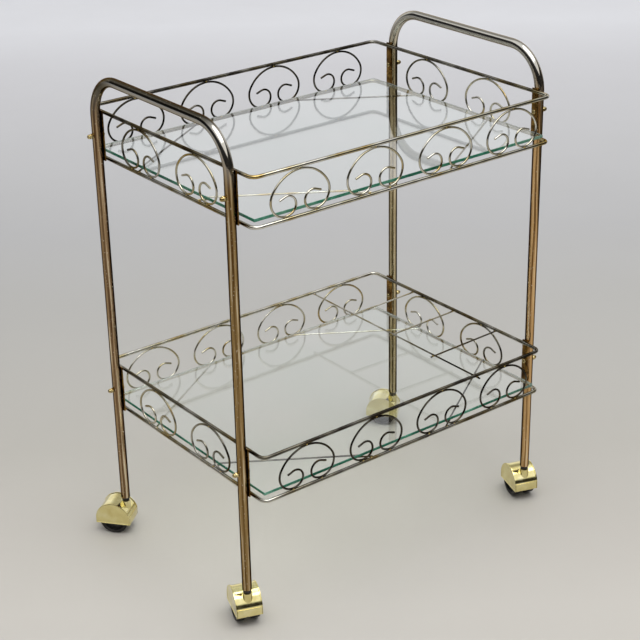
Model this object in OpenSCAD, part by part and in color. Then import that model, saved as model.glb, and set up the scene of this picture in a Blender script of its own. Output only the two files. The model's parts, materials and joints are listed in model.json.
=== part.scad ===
// Dessert trolley: two inverted-U tube frames, two wire trays with scrollwork galleries
// bolted between them, a bottle rack at one end and four hooded twin-wheel casters.
// The origin is on the floor under the middle of the trolley. X runs along it, Y across
// it, and the bottle rack is at the +X end. Front is -Y, left is -X. Lengths are in mm.

/* [Frames] */
// Height of the handle bars' centre line above the floor
handle_h = 848; // [810:1:900]
// Outside diameter of the frame tube
tube_d = 16; // [15:0.5:18]
// Wall of the frame tube
tube_wall = 1.2; // [1:0.1:1.6]
// Distance between the two legs of a frame, axis to axis
leg_gauge = 375; // [340:1:400]
// Centre-line radius of the bend from leg to handle
bend_r = 68; // [50:1:90]

/* [Trays] */
// Length of a tray between rail centre lines
tray_l = 600; // [540:1:680]
// Width of a tray between rail centre lines
tray_w = 453.5; // [440:0.5:480]
// Height of the lower tray's bottom rail above the floor
lower_tray_h = 243; // [200:1:320]
// Height of the upper tray's bottom rail above the floor
upper_tray_h = 705; // [660:1:710]
// Distance between a tray's two rails, centre to centre
rail_gap = 78; // [72:0.5:86]
// Diameter of the rail wire
rail_d = 6; // [4:0.5:7]
// Centre-line radius of a rail's corners
rail_corner_r = 12; // [8:0.5:14]

/* [Glass and its supports] */
// Thickness of the glass
glass_t = 5; // [4:0.5:6]
// Distance from the end rails' centre line to the glass
glass_end_gap = 6; // [5:0.5:10]
// Distance from the side rails' centre line to the glass
glass_side_gap = 7.75; // [6:0.25:12]
// Diameter of the diagonal wires under the glass
support_d = 3; // [2.5:0.25:4]
// Where a diagonal wire crosses a long rail, from the middle of the tray
support_x = 83; // [60:1:120]
// Where a diagonal wire crosses a short rail, from the middle of the tray
support_y = 85; // [60:1:120]
// How far a diagonal wire runs past the rail's centre line
support_over = 2; // [1:0.5:3]

/* [Scrollwork] */
// Diameter of the scroll wire
wire_d = 3.5; // [2.5:0.25:4]
// Centre-line radius of the arch over a scroll
arch_r = 59; // [56:0.5:66]
// Centre-line radius of a scroll's two shoulders
shoulder_r = 26; // [23:0.5:28]
// Centre-line radius of the curl inside a shoulder
curl_r = 15; // [12:0.5:17]
// Angle below the horizontal at which the shoulder tightens into the curl
curl_start = 118; // [105:1:130]
// Angle at which the curl ends and the straight tail begins
curl_end = 290; // [270:1:300]
// Length of the straight tail
tail_l = 10; // [5:0.5:12]
// Scrolls on a long side of a tray
long_scrolls = 4; // [2:1:4]
// Scrolls on a short side of a tray
side_scrolls = 2; // [1:1:2]
// Distance from a tray's corner to the middle of the first scroll on a long side
long_scroll_inset = 85; // [75:1:100]
// Distance between the scrolls on a short side, middle to middle
side_scroll_pitch = 157; // [130:1:165]

/* [Bottle rack] */
// Distance of the rack's crossbar from the middle of the tray
rack_x = 152; // [146:1:158]
// Diameter of the rack wire
rack_d = 3; // [2.5:0.25:4]
// Bottle bays side by side
bottle_bays = 4; // [2:1:5]
// How far the crossbar runs past the side rails' centre line
crossbar_over = 6.25; // [3:0.25:8]
// How far a divider runs past the crossbar's centre line
divider_over = 5; // [2:0.5:6]
// How far a divider runs past the end rail's centre line
divider_end_over = 2; // [1:0.5:2.5]

/* [Corner plates and bolts] */
// Thickness of a corner plate
plate_t = 2.5; // [2:0.5:4]
// Width of a corner plate
plate_w = 13; // [12:0.5:15]
// How far a plate stands above the top rail's centre line
plate_above = 4; // [3:0.5:8]
// How far a plate hangs below the bottom rail's centre line
plate_below = 3.5; // [3:0.5:8]
// Radius of a plate's corners
plate_corner_r = 2; // [1:0.5:4]
// Distance of the bolt below the top rail's centre line
bolt_drop = 36.5; // [25:0.5:45]
// Thread diameter of the bolt
bolt_d = 5; // [4:0.5:6]
// Length of the bolt under its head
bolt_l = 25; // [24.5:0.5:25.5]
// Diameter of the bolt's head
bolt_head_d = 8; // [7.5:0.5:10]
// Height of the bolt's head
bolt_head_h = 2.6; // [2:0.1:3]
// Width of the dome nut across its flats
nut_af = 8; // [8:0.5:10]
// Height of the dome nut
nut_h = 10; // [9.5:0.5:12]

/* [Casters] */
// Diameter of a caster wheel
wheel_d = 52; // [46:1:54]
// Distance that the axle trails behind the stem
trail = 19; // [16:0.5:20]
// Width of the hood over its side plates
hood_w = 45; // [40:0.5:48]
// Distance from the stem's axis back to the highest line of the hood's crown
crown_back = 21; // [19:0.5:23]
// Gap between the top of a wheel and the inside of the crown
crown_gap = 5.5; // [4:0.5:8]
// Gap between a wheel and the inside of the hood's front
front_gap = 2.2; // [1.5:0.1:3.5]
// Gap between a wheel and the inside of the hood's back
back_gap = 3; // [2:0.5:5]
// Height of the hood's lower edge above the floor
skirt_h = 19.8; // [16:0.1:22]
// Thickness of the hood's top and ends
hood_wall = 2; // [1.5:0.1:2.4]
// Thickness of the hood's side plates
side_t = 2.2; // [1.5:0.1:3]
// How far the side plates' rims and the front band stand proud of the hood's top
rim_step = 1; // [0.5:0.1:1.5]
// Height of the front band
band_h = 15.2; // [12:0.1:18]
// Thickness of the web between the two wheels
web_t = 11; // [10.5:0.5:13]
// Diameter of the boss round the stem
boss_d = 16; // [14:0.5:17]
// Diameter of the stem
stem_d = 8; // [7:0.5:8.5]
// Length of the stem inside the hood
stem_in_hood = 32; // [26:0.5:33]
// Length of the sleeve inside the tube
sleeve_l = 28; // [20:1:40]
// Height of the sleeve's collar below the tube
collar_h = 6.1; // [4:0.1:9]
// Diameter of the axle
axle_d = 5; // [4:0.5:6]
// Diameter of a wheel's hub
hub_d = 13; // [10:0.5:16]
// Depth of a wheel's rim
rim_depth = 6; // [4:0.5:8]
// Thickness of a wheel's disc
disc_t = 4; // [3:0.5:6]
// Radius of the tread's edges
tread_r = 1.6; // [1:0.1:2.4]
// Heading of the front left caster, anticlockwise from +X
front_left_heading = 250; // [0:1:360]
// Heading of the back left caster
back_left_heading = 309; // [0:1:360]
// Heading of the front right caster
front_right_heading = 251; // [0:1:360]
// Heading of the back right caster
back_right_heading = 312; // [0:1:360]

/* [Fits] */
// Gap left between two wires or a wire and a plate that are joined
weld_gap = 0.1; // [0.05:0.05:0.2]
// Gap between the glass and the wires under it
glass_seat = 0.2; // [0.1:0.05:0.3]
// Clearance on the bolt's diameter in plate and tube
bolt_play = 0.4; // [0.2:0.1:0.6]
// Clearance between stem and sleeve, and wheel and axle, on the radius
running_gap = 0.07; // [0.03:0.01:0.1]
// Clearance of pressed pieces, on the radius
press_gap = 0.03; // [0.02:0.01:0.05]
// Gap between hood and collar, and between sleeve and retaining ring
swivel_gap = 0.4; // [0.3:0.1:0.8]
// Clearance at each side of a wheel
wheel_side_gap = 0.4; // [0.3:0.1:0.8]

/* [Hidden] */
$fn = 72;

// Small lengths that a cut runs past the face it goes through.
cut = 1;

// Frame and tray sizes that follow from the ones above.
tube_r = tube_d / 2;
tube_id = tube_d - 2 * tube_wall;
leg_y = leg_gauge / 2;
plate_in_x = tray_l / 2 + rail_d / 2 + weld_gap;
leg_x = plate_in_x + plate_t + weld_gap + tube_r;
bolt_hole_d = bolt_d + bolt_play;
bolt_z = rail_gap - bolt_drop;

// Heights inside a tray, from the bottom rail's centre line.
support_z = rail_d / 2 + weld_gap + support_d / 2;
glass_z = support_z + support_d / 2 + glass_seat;
crossbar_z = rail_gap - rail_d / 2 - weld_gap - rack_d / 2;
divider_z = crossbar_z - rack_d - weld_gap;

// A scroll's centres, in its own plane: x from its middle, z from the bottom rail.
seat_z = rail_d / 2 + weld_gap + wire_d / 2;
arch_z = rail_gap - seat_z - arch_r;
shoulder_turn = asin((seat_z + shoulder_r - arch_z) / (arch_r - shoulder_r));
shoulder_x = (arch_r - shoulder_r) * cos(shoulder_turn);
shoulder_z = seat_z + shoulder_r;
curl_x = shoulder_x + (shoulder_r - curl_r) * cos(curl_start);
curl_z = shoulder_z - (shoulder_r - curl_r) * sin(curl_start);
long_pitch = (tray_l - 2 * long_scroll_inset) / (long_scrolls - 1);
// A small ball, a little fatter than the wire, covers each change of radius.
knuckle_d = wire_d + 0.3;
// Each stretch of wire stops this far short of the ball's centre.
knuckle_gap = 0.4;

// Caster sizes: f forward of the stem's axis, a along the axle, z above the floor.
wheel_r = wheel_d / 2;
hood_shell = hood_wall + rim_step;
hood_front = wheel_r - trail + front_gap + hood_shell;
hood_back = wheel_r + trail + back_gap + hood_shell;
hood_h = wheel_d + crown_gap + hood_shell;
// One arc falls from the crown to the hood's back, another to the top of the front band.
// The second is rounded to a tenth, so that both have their tops at the same height.
back_r = hood_back - crown_back;
front_run = hood_front + crown_back;
front_fall = hood_h - skirt_h - band_h;
front_r = round(5 * (front_run * front_run / front_fall + front_fall)) / 10;
// The boss ends level with the crown.
boss_top_z = hood_h;
collar_z = boss_top_z + swivel_gap;
tube_foot_z = collar_z + collar_h;
sleeve_top_z = tube_foot_z + sleeve_l;
collar_chamfer = 1;
ring_t = 0.8;
ring_side_gap = 1.5;
ring_d = tube_id - 2 * ring_side_gap;
ring_z = sleeve_top_z + swivel_gap;
groove_depth = 0.8;
stem_over_ring = 2;
stem_top_z = ring_z + ring_t + stem_over_ring;
stem_foot_z = boss_top_z - stem_in_hood;
well_w = hood_w / 2 - side_t - web_t / 2;
wheel_w = well_w - 2 * wheel_side_gap;
wheel_a = web_t / 2 + well_w / 2;
axle_l = hood_w - 2 * side_t - 2 * wheel_side_gap;

// Colours as the trolley shows them.
tube_colour = "#8d7850";
wire_colour = "#b3a26f";
plate_colour = "#8a6f45";
glass_colour = [0.75, 0.88, 0.85, 0.35];
hood_colour = "#d8cb7c";
steel_colour = "#a8a8a4";
black_colour = "#1b1a19";

// A straight wire between two points.
module rod(from, to, d) {
  v = to - from;
  length = norm(v);
  translate(from)
    rotate([0, acos(v[2] / length), atan2(v[1], v[0])])
      cylinder(d = d, h = length);
}

// A rectangle with round corners, centred.
module rounded_rect(w, h, r) {
  square([w - 2 * r, h], center = true);
  square([w, h - 2 * r], center = true);
  for (sx = [-1, 1]) for (sy = [-1, 1])
    translate([sx * (w / 2 - r), sy * (h / 2 - r)]) circle(r = r);
}

// The bent rod of an end frame, with feet that can run on below the tube's end.
module u_bend(d, foot_over) {
  foot = tube_foot_z - foot_over;
  shoulder = handle_h - bend_r;
  for (s = [-1, 1]) {
    translate([0, s * leg_y, foot]) cylinder(d = d, h = shoulder - foot);
    translate([0, s * (leg_y - bend_r), shoulder])
      rotate([0, 0, s > 0 ? 0 : 180])
        rotate([90, 0, 90])
          rotate_extrude(angle = 90) translate([bend_r, 0]) circle(d = d);
  }
  translate([0, bend_r - leg_y, handle_h])
    rotate([-90, 0, 0]) cylinder(d = d, h = 2 * (leg_y - bend_r));
}

// Two legs and a handle in one bent tube, drilled for the tray bolts.
module end_frame(side) {
  color(tube_colour)
    translate([side * leg_x, 0, 0])
      difference() {
        u_bend(tube_d, 0);
        u_bend(tube_id, cut);
        for (s = [-1, 1]) for (tray_h = [lower_tray_h, upper_tray_h])
          translate([-tube_r - cut, s * leg_y, tray_h + bolt_z])
            rotate([0, 90, 0]) cylinder(d = bolt_hole_d, h = tube_d + 2 * cut);
      }
}

// A closed rectangle of rail wire with rounded corners.
module rail() {
  x = tray_l / 2 - rail_corner_r;
  y = tray_w / 2 - rail_corner_r;
  corners = [[x, y], [-x, y], [-x, -y], [x, -y]];
  color(wire_colour) {
    for (i = [0:3])
      translate([corners[i][0], corners[i][1], 0])
        rotate([0, 0, 90 * i])
          rotate_extrude(angle = 90) translate([rail_corner_r, 0]) circle(d = rail_d);
    for (s = [-1, 1]) {
      translate([-x, s * tray_w / 2, 0]) rotate([0, 90, 0]) cylinder(d = rail_d, h = 2 * x);
      translate([s * tray_l / 2, -y, 0]) rotate([-90, 0, 0]) cylinder(d = rail_d, h = 2 * y);
    }
  }
}

// An arc of scroll wire round [x, z], from one angle down to another.
module wire_arc(centre, r, start, end) {
  trim = knuckle_gap / r * 180 / PI;
  translate([centre[0], 0, centre[1]])
    rotate([90, 0, 0])
      rotate([0, 0, end + trim])
        rotate_extrude(angle = start - end - 2 * trim)
          translate([r, 0]) circle(d = wire_d);
}

// The ball at the end of an arc.
module knuckle(centre, r, angle) {
  translate([centre[0] + r * cos(angle), 0, centre[1] + r * sin(angle)])
    sphere(d = knuckle_d);
}

// One half of a scroll: shoulder, curl and tail.
module scroll_half() {
  shoulder = [shoulder_x, shoulder_z];
  curl = [curl_x, curl_z];
  knuckle(shoulder, shoulder_r, shoulder_turn);
  wire_arc(shoulder, shoulder_r, shoulder_turn, -curl_start);
  knuckle(curl, curl_r, -curl_start);
  wire_arc(curl, curl_r, -curl_start, -curl_end);
  knuckle(curl, curl_r, -curl_end);
  translate([curl_x + curl_r * cos(curl_end), 0, curl_z - curl_r * sin(curl_end)])
    rotate([0, 180 + curl_end, 0])
      translate([0, 0, knuckle_gap]) cylinder(d = wire_d, h = tail_l);
}

// A scroll stands between the two rails and touches both.
module scroll() {
  color(wire_colour) {
    wire_arc([0, arch_z], arch_r, 180 - shoulder_turn, shoulder_turn);
    scroll_half();
    mirror([1, 0, 0]) scroll_half();
  }
}

// The scrolls on a long side of a tray: side is -1 at the front and 1 at the back.
module long_side_scrolls(side) {
  for (i = [0:long_scrolls - 1])
    translate([long_scroll_inset - tray_l / 2 + i * long_pitch, side * tray_w / 2, 0])
      scroll();
}

// The scrolls on a short side of a tray: side is -1 at the left and 1 at the right.
module short_side_scrolls(side) {
  for (i = [0:side_scrolls - 1])
    translate([side * tray_l / 2, (i - (side_scrolls - 1) / 2) * side_scroll_pitch, 0])
      rotate([0, 0, 90]) scroll();
}

// Four wires across the corners of the bottom rail carry the glass.
module support_wires() {
  run = [tray_l / 2 - support_x, tray_w / 2 - support_y];
  over = support_over * run / norm(run);
  color(wire_colour)
    for (sx = [-1, 1]) for (sy = [-1, 1])
      rod([sx * (support_x - over[0]), sy * (tray_w / 2 + over[1]), support_z],
          [sx * (tray_l / 2 + over[0]), sy * (support_y - over[1]), support_z],
          support_d);
}

// Loose pane with sharp corners.
module glass() {
  l = tray_l - 2 * glass_end_gap;
  w = tray_w - 2 * glass_side_gap;
  color(glass_colour)
    translate([-l / 2, -w / 2, glass_z]) cube([l, w, glass_t]);
}

// Upright straps welded to both rails, bolted to the legs.
module corner_plates() {
  h = rail_gap + plate_above + plate_below;
  color(plate_colour)
    for (sx = [-1, 1]) for (sy = [-1, 1])
      translate([sx > 0 ? plate_in_x : -plate_in_x - plate_t, sy * leg_y, 0])
        rotate([90, 0, 90])
          linear_extrude(plate_t)
            difference() {
              translate([0, h / 2 - plate_below]) rounded_rect(plate_w, h, plate_corner_r);
              translate([0, bolt_z]) circle(d = bolt_hole_d);
            }
}

// Places a bolt or a nut at each leg, pointing outwards from the given x.
module at_bolts(x) {
  for (s = [-1, 1]) for (a = [0, 180])
    rotate([0, 0, a])
      translate([x, s * leg_y, bolt_z]) rotate([0, 90, 0]) children();
}

// Pan-head bolts with a cross recess, head inside the tray.
module bolts() {
  slot_l = bolt_head_d * 0.58;
  slot_w = bolt_head_d * 0.13;
  slot_depth = bolt_head_h * 0.5;
  rim_h = bolt_head_h / 2;
  color(steel_colour)
    at_bolts(plate_in_x)
      difference() {
        union() {
          cylinder(d = bolt_d, h = bolt_l);
          translate([0, 0, -rim_h]) cylinder(d = bolt_head_d, h = rim_h);
          translate([0, 0, -bolt_head_h])
            cylinder(d1 = bolt_head_d - bolt_head_h, d2 = bolt_head_d, h = rim_h);
        }
        for (a = [0, 90])
          rotate([0, 0, a])
            translate([-slot_l / 2, -slot_w / 2, -bolt_head_h - cut])
              cube([slot_l, slot_w, slot_depth + cut]);
      }
}

// Dome nuts on the outside of the legs.
module dome_nuts() {
  dome_step = 0.3;
  dome_r = nut_af / 2 - dome_step;
  hex_h = nut_h / 2;
  nut_x = leg_x + tube_r + weld_gap;
  tip_gap = 0.53;
  bore_depth = plate_in_x + bolt_l - nut_x + tip_gap;
  color(steel_colour)
    at_bolts(nut_x)
      difference() {
        union() {
          cylinder(d = nut_af / cos(30), h = hex_h, $fn = 6);
          cylinder(r = dome_r, h = nut_h - dome_r);
          translate([0, 0, nut_h - dome_r]) sphere(r = dome_r);
        }
        translate([0, 0, -cut]) cylinder(d = bolt_d + 2 * press_gap, h = bore_depth + cut);
      }
}

// Wire across the tray under both top rails, at the open side of the bottle bays.
module crossbar() {
  y = tray_w / 2 + crossbar_over;
  color(wire_colour)
    rod([rack_x, -y, crossbar_z], [rack_x, y, crossbar_z], rack_d);
}

// Wires between the bottle bays, from under the crossbar to under the end rail.
module dividers() {
  rise = (crossbar_z - divider_z) / (tray_l / 2 - rack_x);
  color(wire_colour)
    for (i = [1:bottle_bays - 1]) {
      y = (i / bottle_bays - 0.5) * tray_w;
      rod([rack_x - divider_over, y, divider_z - divider_over * rise],
          [tray_l / 2 + divider_end_over, y, crossbar_z + divider_end_over * rise],
          rack_d);
    }
}

// Places one caster piece at a leg: sx and sy say which one, heading is where it faces.
module at_leg(sx, sy, heading) {
  translate([sx * leg_x, sy * leg_y, 0]) rotate([0, 0, heading]) children();
}

// Outline of the hood from the side, drawn in by inset and cut off level at bottom.
module hood_outline(inset, bottom) {
  back = hood_back - inset;
  height = hood_h - inset - bottom;
  intersection() {
    translate([-crown_back, hood_h - front_r]) circle(r = front_r - inset);
    translate([-crown_back, bottom]) square([front_run - inset, height]);
  }
  intersection() {
    translate([-crown_back, hood_h - back_r]) circle(r = back_r - inset);
    translate([-back, hood_h - back_r]) square([back - crown_back, back_r - inset]);
  }
  translate([-back, bottom]) square([back - crown_back, hood_h - back_r - bottom]);
}

// A slab of the hood's outline between two places along the axle.
module hood_slab(from, to, inset, bottom) {
  translate([0, to, 0]) rotate([90, 0, 0]) linear_extrude(to - from) hood_outline(inset, bottom);
}

// Brass hood: two rimmed side plates, a lower top between them, a web and a stem boss.
module hood() {
  half_w = hood_w / 2;
  well_bottom = skirt_h - cut;
  color(hood_colour)
    difference() {
      union() {
        hood_slab(-half_w, side_t - half_w, 0, skirt_h);
        hood_slab(side_t - half_w, half_w - side_t, rim_step, skirt_h);
        hood_slab(half_w - side_t, half_w, 0, skirt_h);
        translate([hood_front - hood_shell, -half_w, skirt_h])
          cube([hood_shell, hood_w, band_h]);
        translate([0, 0, stem_foot_z]) cylinder(d = boss_d, h = stem_in_hood);
      }
      for (s = [-1, 1])
        hood_slab(s * wheel_a - well_w / 2, s * wheel_a + well_w / 2,
                  hood_shell, well_bottom);
      translate([0, 0, stem_foot_z])
        cylinder(r = stem_d / 2 + press_gap, h = stem_in_hood + cut);
      translate([-trail, web_t / 2 + cut, wheel_r])
        rotate([90, 0, 0]) cylinder(r = axle_d / 2 + press_gap, h = web_t + 2 * cut);
    }
}

// Steel pin pressed into the hood and turning in the sleeve, grooved for its ring.
module stem() {
  color(steel_colour)
    difference() {
      translate([0, 0, stem_foot_z]) cylinder(d = stem_d, h = stem_top_z - stem_foot_z);
      translate([0, 0, ring_z])
        difference() {
          cylinder(d = stem_d + cut, h = ring_t);
          translate([0, 0, -cut]) cylinder(d = stem_d - 2 * groove_depth, h = ring_t + 2 * cut);
        }
    }
}

// Ring in the stem's groove that keeps the caster from dropping out of the sleeve.
module retaining_ring() {
  color(steel_colour)
    translate([0, 0, ring_z + press_gap])
      difference() {
        cylinder(d = ring_d, h = ring_t - 2 * press_gap);
        translate([0, 0, -cut])
          cylinder(r = stem_d / 2 - groove_depth + press_gap, h = ring_t + 2 * cut);
      }
}

// Black bush pressed into the foot of the tube, with its collar showing below.
module sleeve() {
  d = tube_id - 2 * press_gap;
  color(black_colour)
    difference() {
      union() {
        translate([0, 0, collar_z])
          cylinder(d1 = d - 2 * collar_chamfer, d2 = d, h = collar_chamfer);
        translate([0, 0, collar_z + collar_chamfer])
          cylinder(d = d, h = sleeve_top_z - collar_z - collar_chamfer);
      }
      translate([0, 0, collar_z - cut])
        cylinder(r = stem_d / 2 + running_gap, h = sleeve_top_z - collar_z + 2 * cut);
    }
}

// Pin through the web that carries both wheels.
module axle() {
  color(steel_colour)
    translate([-trail, axle_l / 2, wheel_r]) rotate([90, 0, 0]) cylinder(d = axle_d, h = axle_l);
}

// Black wheel with a hub, a thin disc and a tread with rounded edges. side is -1 or 1.
module wheel(side) {
  bore_r = axle_d / 2 + running_gap;
  color(black_colour)
    translate([-trail, side * wheel_a, wheel_r])
      rotate([90, 0, 0])
        rotate_extrude() {
          translate([wheel_r - rim_depth / 2, 0]) rounded_rect(rim_depth, wheel_w, tread_r);
          translate([bore_r, -wheel_w / 2]) square([hub_d / 2 - bore_r, wheel_w]);
          translate([bore_r, -disc_t / 2]) square([wheel_r - rim_depth / 2 - bore_r, disc_t]);
        }
}

module left_frame() { end_frame(-1); }
module right_frame() { end_frame(1); }

module at_upper() { translate([0, 0, upper_tray_h]) children(); }
module at_lower() { translate([0, 0, lower_tray_h]) children(); }

module upper_top_rail() { at_upper() translate([0, 0, rail_gap]) rail(); }
module upper_bottom_rail() { at_upper() rail(); }
module upper_scrolls_front() { at_upper() long_side_scrolls(-1); }
module upper_scrolls_back() { at_upper() long_side_scrolls(1); }
module upper_scrolls_left() { at_upper() short_side_scrolls(-1); }
module upper_scrolls_right() { at_upper() short_side_scrolls(1); }
module upper_support_wires() { at_upper() support_wires(); }
module upper_corner_plates() { at_upper() corner_plates(); }
module upper_glass() { at_upper() glass(); }
module upper_bolts() { at_upper() bolts(); }
module upper_dome_nuts() { at_upper() dome_nuts(); }

module lower_top_rail() { at_lower() translate([0, 0, rail_gap]) rail(); }
module lower_bottom_rail() { at_lower() rail(); }
module lower_scrolls_front() { at_lower() long_side_scrolls(-1); }
module lower_scrolls_back() { at_lower() long_side_scrolls(1); }
module lower_scrolls_left() { at_lower() short_side_scrolls(-1); }
module lower_scrolls_right() { at_lower() short_side_scrolls(1); }
module lower_support_wires() { at_lower() support_wires(); }
module lower_corner_plates() { at_lower() corner_plates(); }
module lower_glass() { at_lower() glass(); }
module lower_bolts() { at_lower() bolts(); }
module lower_dome_nuts() { at_lower() dome_nuts(); }

module bottle_rack_crossbar() { at_lower() crossbar(); }
module bottle_rack_dividers() { at_lower() dividers(); }

module at_front_left() { at_leg(-1, -1, front_left_heading) children(); }
module at_back_left() { at_leg(-1, 1, back_left_heading) children(); }
module at_front_right() { at_leg(1, -1, front_right_heading) children(); }
module at_back_right() { at_leg(1, 1, back_right_heading) children(); }

left_frame();
right_frame();
upper_top_rail();
upper_bottom_rail();
upper_scrolls_front();
upper_scrolls_back();
upper_scrolls_left();
upper_scrolls_right();
upper_support_wires();
upper_corner_plates();
upper_glass();
upper_bolts();
upper_dome_nuts();
lower_top_rail();
lower_bottom_rail();
lower_scrolls_front();
lower_scrolls_back();
lower_scrolls_left();
lower_scrolls_right();
lower_support_wires();
lower_corner_plates();
lower_glass();
lower_bolts();
lower_dome_nuts();
bottle_rack_crossbar();
bottle_rack_dividers();
at_front_left() sleeve();  // front_left_sleeve
at_front_left() stem();  // front_left_stem
at_front_left() retaining_ring();  // front_left_retaining_ring
at_front_left() hood();  // front_left_hood
at_front_left() axle();  // front_left_axle
at_front_left() wheel(-1);  // front_left_wheel_a
at_front_left() wheel(1);  // front_left_wheel_b
at_back_left() sleeve();  // back_left_sleeve
at_back_left() stem();  // back_left_stem
at_back_left() retaining_ring();  // back_left_retaining_ring
at_back_left() hood();  // back_left_hood
at_back_left() axle();  // back_left_axle
at_back_left() wheel(-1);  // back_left_wheel_a
at_back_left() wheel(1);  // back_left_wheel_b
at_front_right() sleeve();  // front_right_sleeve
at_front_right() stem();  // front_right_stem
at_front_right() retaining_ring();  // front_right_retaining_ring
at_front_right() hood();  // front_right_hood
at_front_right() axle();  // front_right_axle
at_front_right() wheel(-1);  // front_right_wheel_a
at_front_right() wheel(1);  // front_right_wheel_b
at_back_right() sleeve();  // back_right_sleeve
at_back_right() stem();  // back_right_stem
at_back_right() retaining_ring();  // back_right_retaining_ring
at_back_right() hood();  // back_right_hood
at_back_right() axle();  // back_right_axle
at_back_right() wheel(-1);  // back_right_wheel_a
at_back_right() wheel(1);  // back_right_wheel_b
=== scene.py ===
"""Looks of a two-tier brass dessert trolley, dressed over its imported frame. Lengths are in metres."""

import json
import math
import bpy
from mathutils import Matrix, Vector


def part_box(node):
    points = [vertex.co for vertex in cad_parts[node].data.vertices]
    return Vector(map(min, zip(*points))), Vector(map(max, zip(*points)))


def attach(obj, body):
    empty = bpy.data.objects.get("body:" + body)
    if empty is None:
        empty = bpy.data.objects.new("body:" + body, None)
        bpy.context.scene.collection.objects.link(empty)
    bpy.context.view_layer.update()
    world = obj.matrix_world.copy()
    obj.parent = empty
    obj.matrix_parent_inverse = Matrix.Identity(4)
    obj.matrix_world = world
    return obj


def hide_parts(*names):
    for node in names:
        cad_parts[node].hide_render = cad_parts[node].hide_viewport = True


bl_info = {
    "name": "Dessert trolley",
    "version": (1, 0, 0),
    "blender": (4, 5, 0),
    "location": "3D View > Sidebar > Trolley",
    "description": "Builds a brass dessert trolley with glass trays and its studio",
    "category": "Object",
}

import bmesh
import bpy
from bpy.props import FloatProperty, FloatVectorProperty, IntProperty, PointerProperty, StringProperty
from mathutils import Matrix, Vector

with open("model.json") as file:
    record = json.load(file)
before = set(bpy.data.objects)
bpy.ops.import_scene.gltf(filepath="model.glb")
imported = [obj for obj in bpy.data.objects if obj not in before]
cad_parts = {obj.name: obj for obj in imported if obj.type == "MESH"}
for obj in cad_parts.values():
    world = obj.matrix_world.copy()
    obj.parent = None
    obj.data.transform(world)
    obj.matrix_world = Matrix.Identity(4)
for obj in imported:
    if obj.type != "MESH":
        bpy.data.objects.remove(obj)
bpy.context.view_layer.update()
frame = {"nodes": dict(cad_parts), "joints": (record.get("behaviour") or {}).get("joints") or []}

MM = 0.001
ROOT = "trolley"
TRAYS = ("upper", "lower")
RAIL_SIDES = 20
RACK_SIDES = 16
CORNERS = ("front_left", "back_left", "front_right", "back_right")
QUARTERS = [(sx, sy) for sx in (-1, 1) for sy in (-1, 1)]
WELD_GAP = 0.1 * MM
# Level directions: away from the photo's camera, and to the photo's right.
AWAY = (0.61, 0.79, 0.0)
ACROSS = (0.79, -0.61, 0.0)


# ---- sizes read from the frame

def middle(node):
    """Middle of a node's box."""
    low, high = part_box(node)
    return (low + high) / 2


def half(node):
    """Half the size of a node's box."""
    low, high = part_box(node)
    return (high - low) / 2


TUBE_RADIUS = half("left_frame").x
LEG_X = middle("right_frame").x
LEG_Y = half("left_frame").y - TUBE_RADIUS
HANDLE_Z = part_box("left_frame")[1].z - TUBE_RADIUS
FOOT_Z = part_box("left_frame")[0].z
RAIL_RADIUS = half("upper_top_rail").z
TRAY_X = half("upper_top_rail").x - RAIL_RADIUS
TRAY_Y = half("upper_top_rail").y - RAIL_RADIUS
RAIL_GAP = middle("upper_top_rail").z - middle("upper_bottom_rail").z
RACK_X = middle("bottle_rack_crossbar").x
RACK_RADIUS = half("bottle_rack_crossbar").x
DIVIDER_YS = [side * (half("bottle_rack_dividers").y - RACK_RADIUS) for side in (-1, 0, 1)]
PLATE_X = TRAY_X + RAIL_RADIUS + WELD_GAP
HEADINGS = {}
for joint in frame["joints"]:
    if joint["name"].endswith("_wheel_b_roll"):
        axle = joint["axis"]
        HEADINGS[joint["name"][:-len("_wheel_b_roll")]] = math.atan2(-axle[0], axle[1])


def tray_z(tray):
    """Height of a tray's bottom rail."""
    return middle(tray + "_bottom_rail").z


# ---- settings a user would change

def length(name, description, size, **limits):
    """A length setting: millimetres here, metres in Blender."""
    return FloatProperty(name=name, description=description, default=size * MM, unit="LENGTH", **limits)


def angle(name, description, degrees):
    """An angle setting."""
    return FloatProperty(name=name, description=description, default=math.radians(degrees), subtype="ANGLE")


def whole(name, description, number, **limits):
    """A whole-number setting."""
    return IntProperty(name=name, description=description, default=number, **limits)


def tone(name, description, code):
    """A colour setting, as an sRGB hex code."""
    return StringProperty(name=name, description=description + ", sRGB", default=code)


class FrameSettings(bpy.types.PropertyGroup):
    """The two bent end frames."""
    bend_radius: length("Bend radius", "Centre-line radius between leg and handle", 68, min=0.05, max=0.09)
    sides: whole("Sides", "Faces round the tube", 48, min=16, max=96)
    worn: tone("Worn", "Plating rubbed pale by hands", "cfcec8")


class TraySettings(bpy.types.PropertyGroup):
    """The wire trays."""
    corner_radius: length("Corner radius", "Centre-line radius of a rail's corners", 12, min=0.008, max=0.014)
    support_x: length("Support X", "Where a glass support meets a long rail", 83)
    support_y: length("Support Y", "Where a glass support meets a short rail", 85)
    weld_radius: length("Weld radius", "Radius of a lump of brazing", 2.2)
    # Bright wire is the unshaded brass; dark wire is the colour of the painted shade laid over it.
    bright: tone("Bright wire", "Wire that kept its brass", "c6bfa4")
    dark: tone("Dark wire", "Tarnished wire", "35302a")


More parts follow.
